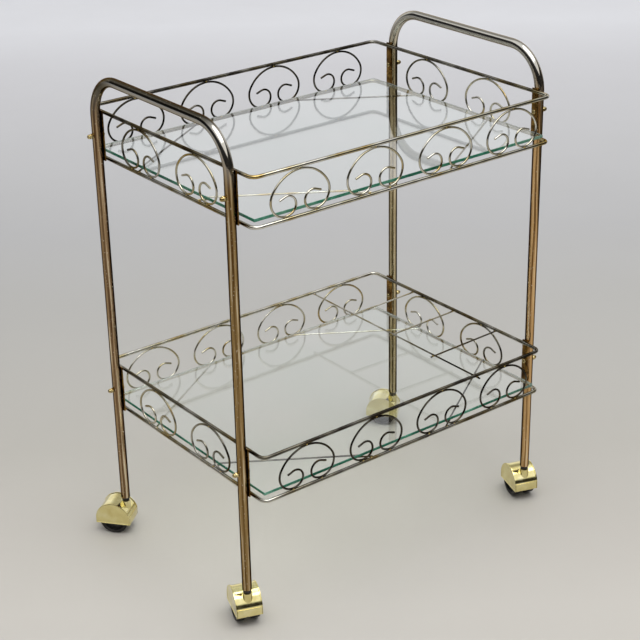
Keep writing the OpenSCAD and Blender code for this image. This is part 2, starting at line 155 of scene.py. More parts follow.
class ScrollSettings(bpy.types.PropertyGroup):
    """The scrollwork galleries."""
    wire_radius: length("Wire radius", "Radius of the scroll wire", 1.75)
    arch: length("Arch radius", "Centre-line radius of the arch", 59)
    shoulder: length("Shoulder radius", "Centre-line radius of the shoulders", 26)
    curl: length("Curl radius", "Centre-line radius of the curls", 15)
    curl_start: angle("Curl start", "Angle where the shoulder tightens", 118)
    curl_end: angle("Curl end", "Angle where the curl runs into its tail", 290)
    tail: length("Tail", "Length of the straight tail", 10.4)
    long_count: whole("Scrolls on a long side", "Scrolls along a long side", 4)
    long_inset: length("Long inset", "From a corner to the first scroll's middle", 85)
    side_count: whole("Scrolls on a short side", "Scrolls along a short side", 2)
    side_pitch: length("Side pitch", "Between the scrolls on a short side", 157)


class CasterSettings(bpy.types.PropertyGroup):
    """The hooded casters."""
    wheel_radius: length("Wheel radius", "Radius of a wheel", 26)
    wheel_width: length("Wheel width", "Width of a wheel's tread and hub", 14)
    wheel_out: length("Wheel out", "From the stem's plane to a wheel's middle", 12.9)
    trail: length("Trail", "How far the axle trails the stem", 19)
    hood_width: length("Hood width", "Width over the side plates", 45)
    crown_back: length("Crown back", "From the stem back to the hood's highest line", 21)
    hood_back: length("Hood back", "From the stem to the hood's back", 51)
    hood_front: length("Hood front", "From the stem to the hood's front band", 12.2)
    front_radius: length("Front radius", "Radius of the arc from the crown down to the band", 34.4)
    band_height: length("Band height", "Height of the band across the hood's front", 15.2)
    brass: tone("Polished brass", "Colour of the hoods", "ebdfa0")


class StageSettings(bpy.types.PropertyGroup):
    """Camera, floor and light."""
    azimuth: angle("Azimuth", "Camera's angle round the trolley, 0 looks along +Y", -37.41)
    elevation: angle("Elevation", "Camera's angle above the horizon", 24.94)
    roll: angle("Roll", "Camera's tilt about its own axis", -1.13)
    distance: length("Distance", "Camera to target", 2816.6)
    target: FloatVectorProperty(name="Target", description="Point the camera looks at",
                                default=(-0.0063, 0.0047, 0.3890), subtype="XYZ")
    lens: FloatProperty(name="Lens", description="Focal length, mm on a 36 mm frame", default=91.28)
    floor: tone("Floor", "Colour of the floor", "c1bdb6")


# ---- small helpers

def linear(code):
    """Linear RGBA of an sRGB hex colour."""
    parts = [int(code[i:i + 2], 16) / 255 for i in (0, 2, 4)]
    return tuple(c / 12.92 if c <= 0.04045 else ((c + 0.055) / 1.055) ** 2.4 for c in parts) + (1.0,)


def add(tree, kind, settings=None, **links):
    """Adds a node. Settings are its own values; links are plain values, sockets or nodes, by input
    name. A node stands for its first output."""
    node = tree.nodes.new(kind)
    for key, value in (settings or {}).items():
        setattr(node, key, value)
    for key, value in links.items():
        name = key.replace("_", " ")
        socket = node.inputs[int(name[3:])] if name.startswith("at ") else next(
            s for s in node.inputs if s.name.lower() == name.lower() and s.enabled)
        if isinstance(value, bpy.types.Node):
            value = value.outputs[0]
        if isinstance(value, bpy.types.NodeSocket):
            tree.links.new(value, socket)
        else:
            socket.default_value = value
    return node


def placed(name, data):
    """A new object of that name in the scene."""
    obj = bpy.data.objects.new(name, data)
    bpy.context.scene.collection.objects.link(obj)
    return obj


def finish_piece(obj, slot, *replaced, body=ROOT):
    """Hands a finished piece to the frame, and hides the parts it replaces."""
    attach(obj, body)
    if replaced:
        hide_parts(*replaced)


def dressed(name, mesh, finishes, slot, node, body=ROOT):
    """Puts a finished mesh into the scene under its name, with its materials."""
    mesh.name = name
    for finish in finishes:
        mesh.materials.append(FINISHES[finish])
    finish_piece(placed(name, mesh), slot, node, body=body)


def mesh_of(name, points, edges=(), faces=()):
    mesh = bpy.data.meshes.new(name)
    mesh.from_pydata([tuple(p) for p in points], [tuple(e) for e in edges], [tuple(f) for f in faces])
    return mesh


def smooth(mesh, degrees):
    """Smooth faces, with edges sharper than the angle left crisp."""
    mesh.polygons.foreach_set("use_smooth", [True] * len(mesh.polygons))
    mesh.set_sharp_from_angle(angle=math.radians(degrees))
    return mesh


def outward(mesh):
    """Merges doubles and turns every face outwards."""
    bm = bmesh.new()
    bm.from_mesh(mesh)
    bmesh.ops.remove_doubles(bm, verts=bm.verts, dist=1e-6)
    bmesh.ops.recalc_face_normals(bm, faces=bm.faces)
    bm.to_mesh(mesh)
    bm.free()
    return mesh


def joined(name, meshes):
    """One mesh out of several."""
    bm = bmesh.new()
    for mesh in meshes:
        bm.from_mesh(mesh)
    out = bpy.data.meshes.new(name)
    bm.to_mesh(out)
    bm.free()
    for mesh in meshes:
        bpy.data.meshes.remove(mesh)
    return out


def lathe(name, profile, steps=48, closed=True):
    """Turns (radius, height) points about Z. A closed profile makes a ring; an open one gets poles."""
    points, faces = [], []
    width = len(profile)
    for i in range(steps):
        a = 2 * math.pi * i / steps
        points += [(r * math.cos(a), r * math.sin(a), z) for r, z in profile]
    for i in range(steps):
        j = (i + 1) % steps
        for k in range(width if closed else width - 1):
            m = (k + 1) % width
            faces.append((i * width + k, j * width + k, j * width + m, i * width + m))
    return outward(mesh_of(name, points, faces=faces))


def arc(cx, cy, radius, start, end, steps):
    """Points of an arc in a plane, angles in radians."""
    return [(cx + radius * math.cos(start + (end - start) * i / steps),
             cy + radius * math.sin(start + (end - start) * i / steps)) for i in range(steps + 1)]


def lofted(name, rings):
    """Closed skin over rings of the same number of points."""
    width = len(rings[0])
    points = [p for ring in rings for p in ring]
    faces = []
    for i in range(len(rings) - 1):
        for k in range(width):
            m = (k + 1) % width
            faces.append((i * width + k, i * width + m, (i + 1) * width + m, (i + 1) * width + k))
    faces.append(tuple(reversed(range(width))))
    faces.append(tuple(range((len(rings) - 1) * width, len(rings) * width)))
    return outward(mesh_of(name, points, faces=faces))


def bevelled_box(name, low, high, width, segments):
    """Closed box with rounded edges."""
    bm = bmesh.new()
    bmesh.ops.create_cube(bm, size=1)
    low, high = Vector(low), Vector(high)
    for v in bm.verts:
        v.co = Vector(low[i] + (v.co[i] + 0.5) * (high[i] - low[i]) for i in range(3))
    bmesh.ops.bevel(bm, geom=bm.edges[:], offset=width, segments=segments, affect="EDGES", profile=0.5)
    mesh = bpy.data.meshes.new(name)
    bm.to_mesh(mesh)
    bm.free()
    return mesh


# ---- node trees that grow pieces

def new_tree(name, inputs):
    """Geometry tree with a geometry input, the named inputs and a geometry output."""
    tree = bpy.data.node_groups.new(name, "GeometryNodeTree")
    tree.interface.new_socket("Geometry", in_out="INPUT", socket_type="NodeSocketGeometry")
    for label, kind in inputs:
        tree.interface.new_socket(label, in_out="INPUT", socket_type="NodeSocket" + kind)
    tree.interface.new_socket("Geometry", in_out="OUTPUT", socket_type="NodeSocketGeometry")
    return tree, add(tree, "NodeGroupInput").outputs, add(tree, "NodeGroupOutput").inputs


def end_tree(tree, geometry, given, out):
    """Every tree ends in real geometry with its material on it."""
    real = add(tree, "GeometryNodeRealizeInstances", Geometry=geometry)
    shown = add(tree, "GeometryNodeSetMaterial", Geometry=real, Material=given["Finish"])
    tree.links.new(shown.outputs[0], out[0])
    return tree


def wire_tree():
    """Round wire along the object's edges, copied along a row."""
    tree, given, out = new_tree("wire_row", [
        ("Radius", "Float"), ("Sides", "Int"), ("Count", "Int"), ("Step", "Vector"), ("Finish", "Material")])
    path = add(tree, "GeometryNodeMeshToCurve", Mesh=given["Geometry"])
    run = add(tree, "GeometryNodeSplineParameter").outputs["Length"]
    marked = add(tree, "GeometryNodeStoreNamedAttribute", {"data_type": "FLOAT", "domain": "POINT"},
                 Geometry=path, Name="along", Value=run)
    ring = add(tree, "GeometryNodeCurvePrimitiveCircle", {"mode": "RADIUS"},
               Resolution=given["Sides"], Radius=given["Radius"])
    unit = add(tree, "ShaderNodeVectorMath", {"operation": "NORMALIZE"},
               at_0=add(tree, "GeometryNodeInputPosition"))
    marked_ring = add(tree, "GeometryNodeStoreNamedAttribute",
                      {"data_type": "FLOAT_VECTOR", "domain": "POINT"},
                      Geometry=ring, Name="around", Value=unit)
    swept = add(tree, "GeometryNodeCurveToMesh", Curve=marked,
                Profile_Curve=marked_ring, Fill_Caps=True)
    row = add(tree, "GeometryNodeMeshLine", {"mode": "OFFSET"},
              Count=given["Count"], Offset=given["Step"])
    copies = add(tree, "GeometryNodeInstanceOnPoints", Points=row, Instance=swept)
    return end_tree(tree, copies, given, out)


def spot_tree():
    """A flattened blob of weld at every point, each turned and sized a little differently."""
    tree, given, out = new_tree("weld_spots", [("Radius", "Float"), ("Seed", "Int"), ("Finish", "Material")])
    blob = add(tree, "GeometryNodeMeshIcoSphere", Radius=given["Radius"], Subdivisions=3)
    bump = add(tree, "ShaderNodeTexNoise", {"noise_dimensions": "3D"},
               Vector=add(tree, "GeometryNodeInputPosition"), Scale=900.0)
    push = add(tree, "ShaderNodeVectorMath", {"operation": "SCALE"},
               at_0=add(tree, "GeometryNodeInputNormal"),
               Scale=add(tree, "ShaderNodeMath", {"operation": "MULTIPLY"},
                         at_0=bump, at_1=0.5 * MM))
    lumpy = add(tree, "GeometryNodeSetPosition", Geometry=blob, Offset=push)
    turn = add(tree, "FunctionNodeRandomValue", {"data_type": "FLOAT_VECTOR"},
               at_0=(0.0, 0.0, 0.0), at_1=(6.28, 6.28, 6.28), Seed=given["Seed"])
    size = add(tree, "FunctionNodeRandomValue", {"data_type": "FLOAT_VECTOR"},
               at_0=(0.75, 0.7, 0.7), at_1=(1.15, 1.05, 1.0), Seed=given["Seed"])
    copies = add(tree, "GeometryNodeInstanceOnPoints", Points=given["Geometry"], Instance=lumpy,
                 Rotation=turn, Scale=size)
    flat = add(tree, "GeometryNodeRealizeInstances", Geometry=copies)
    soft = add(tree, "GeometryNodeSetShadeSmooth", Geometry=flat, Shade_Smooth=True)
    return end_tree(tree, soft, given, out)


def fastener_tree():
    """A copy of the fastener at every point, turned to face out of the trolley."""
    tree, given, out = new_tree("fasteners", [("Fastener", "Object"), ("Finish", "Material")])
    pattern = add(tree, "GeometryNodeObjectInfo", Object=given["Fastener"], As_Instance=True)
    facing = add(tree, "GeometryNodeInputNamedAttribute", {"data_type": "FLOAT_VECTOR"}, Name="facing")
    copies = add(tree, "GeometryNodeInstanceOnPoints", Points=given["Geometry"],
                 Instance=pattern.outputs["Geometry"], Rotation=facing)
    return end_tree(tree, copies, given, out)


def grow(name, tree, mesh, **values):
    """Runs a tree on a mesh and leaves the result as a plain mesh object."""
    obj = placed(name, mesh)
    modifier = obj.modifiers.new("grow", "NODES")
    modifier.node_group = tree
    for item in tree.interface.items_tree:
        if item.in_out == "INPUT" and item.name in values:
            modifier[item.identifier] = values[item.name]
    ready = obj.evaluated_get(bpy.context.evaluated_depsgraph_get())
    grown = bpy.data.meshes.new_from_object(ready)
    obj.modifiers.clear()
    obj.data = grown
    grown.name = name
    return obj


def wire(name, points, radius, finish="wire", closed=False, sides=12, count=1, step=(0, 0, 0)):
    """One run of wire, or a row of them, as a smooth mesh with flat ends."""
    edges = [(i, i + 1) for i in range(len(points) - 1)]
    if closed:
        edges.append((len(points) - 1, 0))
    obj = grow(name, TREES["wire"], mesh_of(name, points, edges), Radius=radius, Sides=sides,
               Count=count, Step=step, Finish=FINISHES[finish])
    for face in obj.data.polygons:
        face.use_smooth = len(face.vertices) == 4
    return obj


def together(name, objects):
    """Joins wires into one object, keeping their attributes."""
    with bpy.context.temp_override(active_object=objects[0], selected_editable_objects=objects,
                                   selected_objects=objects, object=objects[0]):
        bpy.ops.object.join()
    objects[0].name = name
    objects[0].data.name = name
    return objects[0]


TREES = {}


# ---- materials

def new_material(name):
    mat = bpy.data.materials.new(name)
    mat.use_nodes = True
    tree = mat.node_tree
    tree.nodes.clear()
    shader = add(tree, "ShaderNodeBsdfPrincipled")
    add(tree, "ShaderNodeOutputMaterial", Surface=shader)
    return mat, tree, shader


def noise(tree, vector, scale, detail=3.0, rough=0.5):
    return add(tree, "ShaderNodeTexNoise", {"noise_dimensions": "3D"},
               Vector=vector, Scale=scale, Detail=detail, Roughness=rough).outputs[0]


def ramp(tree, value, stops):
    """Colour ramp with sRGB hex or grey stops."""
    node = add(tree, "ShaderNodeValToRGB", Fac=value)
    elements = node.color_ramp.elements
    while len(elements) < len(stops):
        elements.new(0.5)
    for element, (place, colour) in zip(elements, stops):
        element.position = place
        element.color = linear(colour) if isinstance(colour, str) else (colour, colour, colour, 1)
    return node.outputs[0]


def mix(tree, factor, first, second, kind="MIX"):
    node = add(tree, "ShaderNodeMix", {"data_type": "RGBA", "blend_type": kind})
    for socket, value in ((node.inputs[0], factor), (node.inputs[6], first), (node.inputs[7], second)):
        if isinstance(value, bpy.types.NodeSocket):
            tree.links.new(value, socket)
        else:
            socket.default_value = value
    return node.outputs[2]


def maths(tree, operation, first, second=0.0, clamp=False):
    return add(tree, "ShaderNodeMath", {"operation": operation, "use_clamp": clamp},
               at_0=first, at_1=second).outputs[0]


def contrast(tree, value, gain):
    """Spreads a value that lies about a half."""
    return maths(tree, "ADD", maths(tree, "MULTIPLY", value, gain), 0.5 - gain / 2)


def rise(tree, value, start, end, first=0.0, last=1.0):
    """Goes smoothly from first to last while the value goes from start to end."""
    return add(tree, "ShaderNodeMapRange", {"interpolation_type": "SMOOTHSTEP"}, Value=value,
               From_Min=start, From_Max=end, To_Min=first, To_Max=last).outputs[0]


def dot(tree, vector, direction):
    return add(tree, "ShaderNodeVectorMath", {"operation": "DOT_PRODUCT"},
               at_0=vector, at_1=direction).outputs["Value"]


def painted(tree, shader, colour, gloss, low, high):
    """Links the colour, and a roughness from low to high that follows the gloss noise."""
    tree.links.new(colour, shader.inputs["Base Color"])
    tree.links.new(ramp(tree, gloss, [(0.3, low), (0.7, high)]), shader.inputs["Roughness"])


def bumped(tree, shader, height, distance, strength):
    bump = add(tree, "ShaderNodeBump", Height=height, Distance=distance, Strength=strength)
    tree.links.new(bump.outputs[0], shader.inputs["Normal"])


def place_on(tree):
    """Object coordinates and their three parts."""
    at = add(tree, "ShaderNodeTexCoord").outputs["Object"]
    return at, add(tree, "ShaderNodeSeparateXYZ", Vector=at).outputs


def grained(name, cloud, stops, gloss, low, high, grain, depth, strength, metallic=1.0, coat=(0.0, 0.03)):
    """A material of three noises: one for its colour, one for its roughness from low to high,
    and a fine grain for its bump, whose depth is in millimetres. The coat is weight and roughness."""
    mat, tree, shader = new_material(name)
    at = place_on(tree)[0]
    colour = ramp(tree, noise(tree, at, *cloud), stops)
    painted(tree, shader, colour, noise(tree, at, *gloss), low, high)
    shader.inputs["Metallic"].default_value = metallic
    shader.inputs["Coat Weight"].default_value, shader.inputs["Coat Roughness"].default_value = coat
    bumped(tree, shader, noise(tree, at, grain, 2.0), depth * MM, strength)
    return mat


def by_leg(tree, parts, tones):
    """Picks one of four colours: front left, back left, front right, back right."""
    back = rise(tree, parts[1], -0.15, 0.15)
    right = maths(tree, "GREATER_THAN", parts[0], 0.0)
    pairs = [mix(tree, back, linear(tones[i]), linear(tones[i + 1])) for i in (0, 2)]
    return mix(tree, right, *pairs)


def plated_tube(settings):
    """Brass-plated steel tube under clear lacquer that has browned in streaks along its length, with painted
    reflections in bands round every leg, painted dark edge lines and painted highlights. The eye sees a
    polished tube with brown, gold and olive stripes, silver where hands rubbed it."""
    mat, tree, shader = new_material("plated_tube")
    at, parts = place_on(tree)
    along = add(tree, "ShaderNodeAttribute", {"attribute_name": "along"}).outputs["Fac"]
    around = add(tree, "ShaderNodeAttribute", {"attribute_name": "around"}).outputs["Vector"]
    # The broadest streaks are about 4 mm wide and 150 mm long; finer ones lie within them.
    round_it = add(tree, "ShaderNodeVectorMath", {"operation": "SCALE"}, at_0=around, Scale=1.1)
    run = add(tree, "ShaderNodeCombineXYZ", X=maths(tree, "MULTIPLY", parts[0], 3.0),
              Z=maths(tree, "MULTIPLY", along, 2.6))
    streak_at = add(tree, "ShaderNodeVectorMath", {"operation": "ADD"}, at_0=round_it, at_1=run).outputs[0]
    streak = contrast(tree, noise(tree, streak_at, 2.6, 4.0, 0.62), 2.8)
    patch = noise(tree, at, 14.0, 3.0, 0.6)
    # Painted reflection and real streaks: bands of light and dark round every leg, by which way the surface
    # faces along ACROSS, join the lacquer streaks, and the plate shows pale where together they are light.
    normal = add(tree, "ShaderNodeTexCoord").outputs["Normal"]
    turned = dot(tree, normal, ACROSS)
    wander = maths(tree, "MULTIPLY", maths(tree, "SUBTRACT", noise(tree, at, 7.0, 2.0), 0.5), 0.30)
    place = maths(tree, "ADD", maths(tree, "ADD", maths(tree, "MULTIPLY", turned, 0.5), 0.5), wander)
    band = ramp(tree, place, [(0.05, 0.0), (0.17, 0.8), (0.30, 0.9), (0.42, 0.15), (0.52, 0.25),
                              (0.64, 1.0), (0.80, 0.75), (0.93, 0.0)])
    pale = maths(tree, "ADD", band, maths(tree, "MULTIPLY", streak, 0.7))
    pale = maths(tree, "SUBTRACT", pale, 0.38, True)
    lacquer = by_leg(tree, parts, ("5c4222", "553b24", "664620", "5a4d2b"))
    plate = by_leg(tree, parts, ("a88c5c", "b09470", "e6bd84", "ccbc95"))
    colour = mix(tree, pale, lacquer, plate)
    # Painted highlight: near white where a light band meets a light streak.
    painted_gleam = ramp(tree, maths(tree, "MULTIPLY", band, streak), [(0.50, 0.0), (0.75, 0.75)])
    colour = mix(tree, painted_gleam, colour, linear("f0e3c6"))
    # Painted shade: two dark lines stand on opposite sides of every leg, where the surface faces along
    # ACROSS.
    line = rise(tree, maths(tree, "ABSOLUTE", turned), 0.66, 0.90)
    # Hands have rubbed the handles to grey plate. On the left one a painted shade darkens the top and the
    # back bend, and a painted reflection keeps it pale below and at the front bend.
    worn = rise(tree, parts[2], 0.75, 0.84)
    line = maths(tree, "MULTIPLY", line, maths(tree, "SUBTRACT", 1.0, worn))
    line = maths(tree, "MULTIPLY", line, maths(tree, "ADD", patch, 0.40), True)
    colour = mix(tree, line, colour, linear("20170c"))
    up = add(tree, "ShaderNodeSeparateXYZ", Vector=normal).outputs[2]
    top = rise(tree, up, 0.26, 0.42)
    back_bend = rise(tree, parts[1], 0.10, 0.16)
    past_front_bend = rise(tree, parts[1], -0.175, -0.135)
    # Painted shade on the left handle's top and back bend, stopping before its front bend.
    left_painted_shade = maths(tree, "MULTIPLY", maths(tree, "MAXIMUM", top, back_bend), past_front_bend)
    left_grey_painted_light = mix(tree, left_painted_shade, linear("dad8d2"), linear("5e5d57"))
    right = maths(tree, "GREATER_THAN", parts[0], 0.0)
    grey = mix(tree, right, left_grey_painted_light, linear(settings.worn))
    smudged = mix(tree, 1.0, grey, linear("a8a496"), "MULTIPLY")
    rubbed = mix(tree, maths(tree, "MULTIPLY", streak, 0.35), grey, smudged)
    colour = mix(tree, maths(tree, "MULTIPLY", worn, 0.95), colour, rubbed)
    speck = noise(tree, at, 420.0, 1.0)
    colour = mix(tree, ramp(tree, speck, [(0.70, 0.0), (0.74, 0.8)]), colour, linear("efe6d0"))
    painted(tree, shader, colour, speck, 0.06, 0.16)
    shader.inputs["Metallic"].default_value = 1.0
    shader.inputs["Specular Tint"].default_value = linear("a08c6c")
    shader.inputs["Coat Weight"].default_value = 0.05
    shader.inputs["Coat Roughness"].default_value = 0.05
    bumped(tree, shader, noise(tree, streak_at, 38.0, 2.0), 0.02 * MM, 0.35)
    return mat


def plated_wire(name, settings, start, end, depth, sides=1.0):
    """Brass-plated steel wire, bright in places and painted brown-black with shade in others.
    The eye sees thin gold and silver lines with dark outlines and dark stretches."""
    mat, tree, shader = new_material(name)
    at, parts = place_on(tree)
    # The painted shade starts at the upper tray's front and at the lower tray's back.
    level = maths(tree, "SIGN", maths(tree, "SUBTRACT", parts[2], 0.5))
    inwards = maths(tree, "MULTIPLY", parts[1], level)
    dark = maths(tree, "MULTIPLY", rise(tree, inwards, start, end), depth)
    # The painted shade is thinner at both ends of the trays.
    kept = rise(tree, maths(tree, "ABSOLUTE", parts[0]), 0.26, 0.29, 1.0, sides)
    dark = maths(tree, "MULTIPLY", dark, kept)
    cloud = maths(tree, "SUBTRACT", noise(tree, at, 38.0, 3.0), 0.5)
    dark = maths(tree, "ADD", dark, maths(tree, "MULTIPLY", cloud, 1.1), True)
    brass = ramp(tree, noise(tree, at, 22.0, 2.0),
                 [(0.34, "b49c66"), (0.46, settings.bright), (0.60, "e0ddd2")])
    colour = mix(tree, maths(tree, "MULTIPLY", dark, 0.97), brass, linear(settings.dark))
    painted(tree, shader, colour, noise(tree, at, 300.0, 2.0), 0.06, 0.16)
    shader.inputs["Metallic"].default_value = 1.0
    shader.inputs["Specular Tint"].default_value = linear("8a8070")
    bumped(tree, shader, noise(tree, at, 700.0, 2.0), 0.03 * MM, 0.4)
    return mat


def browned_strap():
    """Steel strap, brass plated and browned, mottled from dark brown to gold."""
    return grained("browned_strap", (60.0, 3.0), [(0.35, "4d3519"), (0.55, "85632f"), (0.7, "b08d4c")],
                   (250.0, 2.0), 0.22, 0.4, 500.0, 0.05, 0.5)


def weld_metal():
    """Brazing at the joints: yellow, lumpy and dull."""
    return grained("brazed_spot", (400.0, 2.0), [(0.35, "9c7f3e"), (0.65, "dcc47a")],
                   (900.0, 2.0), 0.25, 0.45, 1500.0, 0.1, 0.6)


def polished_brass(settings):
    """Pressed brass, polished and lacquered: pale yellow, mirror-like, with faint cloudy wear."""
    return grained("polished_brass", (45.0, 3.0), [(0.3, "dccc86"), (0.55, settings.brass), (0.75, "f5edbe")],
                   (160.0, 3.0), 0.08, 0.2, 90.0, 0.05, 0.25, coat=(0.4, 0.06))


def plated_fastener():
    """Brass-plated steel fasteners, slightly yellow and rubbed."""
    return grained("plated_fastener", (180.0, 2.0), [(0.35, "9c8654"), (0.65, "d6c591")],
                   (500.0, 2.0), 0.16, 0.3, 800.0, 0.03, 0.4)


def turned_steel():
    """Bright turned steel of stem, ring and axle."""
    return grained("turned_steel", (300.0, 2.0), [(0.3, "8d8c88"), (0.7, "b9b8b3")],
                   (500.0, 2.0), 0.22, 0.38, 1200.0, 0.02, 0.4)


def moulded_black(name, base, dusty, low):
    """Black moulded plastic or rubber, dusty in places, with a fine moulded grain."""
    return grained(name, (70.0, 4.0, 0.6), [(0.45, base), (0.8, dusty)],
                   (220.0, 2.0), low, low + 0.2, 1400.0, 0.04, 0.5, metallic=0.0)


def clear_glass():
    """Float glass: clear, with a faint green cast and a trace of dust. Its shadow is pale and neutral."""
    mat, tree, shader = new_material("float_glass")
    at = place_on(tree)[0]
    tree.links.new(ramp(tree, noise(tree, at, 6.0, 2.0), [(0.3, "f8fdfb"), (0.7, "fdfffe")]),
                   shader.inputs["Base Color"])
    tree.links.new(ramp(tree, noise(tree, at, 40.0, 3.0), [(0.5, 0.0), (0.9, 0.03)]),
                   shader.inputs["Roughness"])
    shader.inputs["Transmission Weight"].default_value = 1.0
    shader.inputs["IOR"].default_value = 1.5
    lamp = add(tree, "ShaderNodeLightPath").outputs["Is Shadow Ray"]
    passing = add(tree, "ShaderNodeBsdfTransparent", Color=linear("f6f6f3"))
    both = add(tree, "ShaderNodeMixShader", at_0=lamp, at_1=shader, at_2=passing)
    tree.links.new(both.outputs[0], tree.get_output_node("ALL").inputs["Surface"])
    return mat


def glass_edge():
    """Ground edge of the pane: deep green near the photo's camera, with a painted reflection that turns it
    pale grey on the far side.
    """
    mat, tree, shader = new_material("ground_glass_edge")
    at = place_on(tree)[0]
    green = ramp(tree, noise(tree, at, 30.0, 3.0), [(0.35, "2f8266"), (0.55, "4fae8d"), (0.75, "8fd8bd")])
    # Painted reflection: the edge is pale grey on the far side.
    far = rise(tree, dot(tree, at, AWAY), -0.05, 0.05)
    painted(tree, shader, mix(tree, far, green, linear("a3aca6")), noise(tree, at, 400.0, 2.0), 0.12, 0.3)
    shader.inputs["Transmission Weight"].default_value = 0.35
    shader.inputs["IOR"].default_value = 1.5
    return mat


FINISHES = {}


def make_finishes(scene):
    trays = scene.trolley_trays
    FINISHES.update(
        tube=plated_tube(scene.trolley_frames),
        # The numbers after the trays set where each wire's painted shade starts and ends, how deep it is, and
        # how deep it stays at the trays' ends.
        wire=plated_wire("plated_wire", trays, -0.10, 0.20, 1.0),
        top_rail=plated_wire("plated_top_rail", trays, -0.222, -0.17, 0.9, 0.8),
        bottom_rail=plated_wire("plated_bottom_rail", trays, -0.222, -0.17, 0.7, 0.45),
        strap=browned_strap(), weld=weld_metal(), hood=polished_brass(scene.trolley_casters),
        fastener=plated_fastener(), steel=turned_steel(),
        collar=moulded_black("moulded_collar", "0d0c0c", "2b2927", 0.35),
        wheel=moulded_black("wheel_rubber", "100f0f", "3a3733", 0.4),
        glass=clear_glass(), edge=glass_edge())


# ---- operators: frames and trays

class TROLLEY_OT_end_frames(bpy.types.Operator):
    """Sweeps the two bent tubes whose tops are the push handles"""
    bl_idname = "trolley.end_frames"
    bl_label = "End frames"

    def execute(self, context):
        settings = context.scene.trolley_frames
        bend = settings.bend_radius
        inner, shoulder = LEG_Y - bend, HANDLE_Z - bend
        path = [(-LEG_Y, FOOT_Z), (-LEG_Y, (FOOT_Z + shoulder) / 2)]
        path += arc(-inner, shoulder, bend, math.pi, math.pi / 2, 24)
        path += arc(inner, shoulder, bend, math.pi / 2, 0, 24)
        path += [(LEG_Y, (FOOT_Z + shoulder) / 2), (LEG_Y, FOOT_Z)]
        for name, x in (("left_frame", -LEG_X), ("right_frame", LEG_X)):
            line = [(x, y, z) for y, z in path]
            tube = wire(name + "_tube", line, TUBE_RADIUS, "tube", sides=settings.sides)
            finish_piece(tube, "tube_brass", name)
        return {"FINISHED"}


def rail_path(z, radius):
    """Centre line of a rail: a rectangle with rounded corners."""
    x, y = TRAY_X - radius, TRAY_Y - radius
    path = []
    for cx, cy, start in ((x, y, 0), (-x, y, 90), (-x, -y, 180), (x, -y, 270)):
        start = math.radians(start)
        path += arc(cx, cy, radius, start, start + math.pi / 2, 10)
    return [(px, py, z) for px, py in path]


class TROLLEY_OT_rails(bpy.types.Operator):
    """Sweeps the four closed rails of the trays"""
    bl_idname = "trolley.rails"
    bl_label = "Rails"

    def execute(self, context):
        radius = context.scene.trolley_trays.corner_radius
        for tray in TRAYS:
            for level in ("top", "bottom"):
                node = f"{tray}_{level}_rail"
                rail = wire(node + "_wire", rail_path(middle(node).z, radius), RAIL_RADIUS,
                            level + "_rail", closed=True, sides=RAIL_SIDES)
                finish_piece(rail, "wire_brass", node)
        return {"FINISHED"}


def scroll_path(s):
    """Centre line of one scroll: x from its middle, z from the bottom rail. From tail to tail."""
    seat = RAIL_RADIUS + s.wire_radius + WELD_GAP
    arch_z = RAIL_GAP - seat - s.arch
    turn = math.asin((seat + s.shoulder - arch_z) / (s.arch - s.shoulder))
    shoulder_x = (s.arch - s.shoulder) * math.cos(turn)
    shoulder_z = seat + s.shoulder
    curl_x = shoulder_x + (s.shoulder - s.curl) * math.cos(s.curl_start)
    curl_z = shoulder_z - (s.shoulder - s.curl) * math.sin(s.curl_start)
    half_path = arc(0, arch_z, s.arch, math.pi / 2, turn, 20)
    half_path += arc(shoulder_x, shoulder_z, s.shoulder, turn, -s.curl_start, 26)[1:]
    half_path += arc(curl_x, curl_z, s.curl, -s.curl_start, -s.curl_end, 26)[1:]
    end = half_path[-1]
    direction = (math.sin(-s.curl_end), -math.cos(-s.curl_end))
    half_path.append((end[0] + s.tail * direction[0], end[1] + s.tail * direction[1]))
    return [(-x, z) for x, z in reversed(half_path[1:])] + half_path


def scroll_rows(s):
    """For each gallery side: its node ending, the first scroll's middle, the step and the count."""
    pitch = 2 * (TRAY_X - s.long_inset) / (s.long_count - 1)
    first = s.long_inset - TRAY_X
    side_first = -s.side_pitch * (s.side_count - 1) / 2
    return [("front", (first, -TRAY_Y), (pitch, 0, 0), s.long_count),
            ("back", (first, TRAY_Y), (pitch, 0, 0), s.long_count),
            ("left", (-TRAY_X, side_first), (0, s.side_pitch, 0), s.side_count),
            ("right", (TRAY_X, side_first), (0, s.side_pitch, 0), s.side_count)]


class TROLLEY_OT_scrollwork(bpy.types.Operator):
    """Sweeps the scrolls of both galleries, a row for each side"""
    bl_idname = "trolley.scrollwork"
    bl_label = "Scrollwork"

    def execute(self, context):
        s = context.scene.trolley_scrolls
        shape = scroll_path(s)
        for tray in TRAYS:
            base = tray_z(tray)
            for side, (x0, y0), step, count in scroll_rows(s):
                along_x = step[0] != 0
                path = [(x0 + x if along_x else x0, y0 if along_x else y0 + x, base + z) for x, z in shape]
                node = f"{tray}_scrolls_{side}"
                row = wire(node + "_wire", path, s.wire_radius, count=count, step=step)
                finish_piece(row, "wire_brass", node)
        return {"FINISHED"}


class TROLLEY_OT_supports(bpy.types.Operator):
    """Sweeps the diagonal wires under each pane"""
    bl_idname = "trolley.supports"
    bl_label = "Glass supports"

    def execute(self, context):
        t = context.scene.trolley_trays
        for tray in TRAYS:
            node = tray + "_support_wires"
            z, radius = middle(node).z, half(node).z
            over = half(node).x - TRAY_X
            wires = []
            for sx, sy in QUARTERS:
                start = Vector((sx * t.support_x, sy * TRAY_Y, z))
                end = Vector((sx * TRAY_X, sy * t.support_y, z))
                run = (end - start).normalized() * over
                wires.append(wire("support", [start - run, start.lerp(end, 0.5), end + run], radius))
            finish_piece(together(node + "_wire", wires), "wire_brass", node)
        return {"FINISHED"}


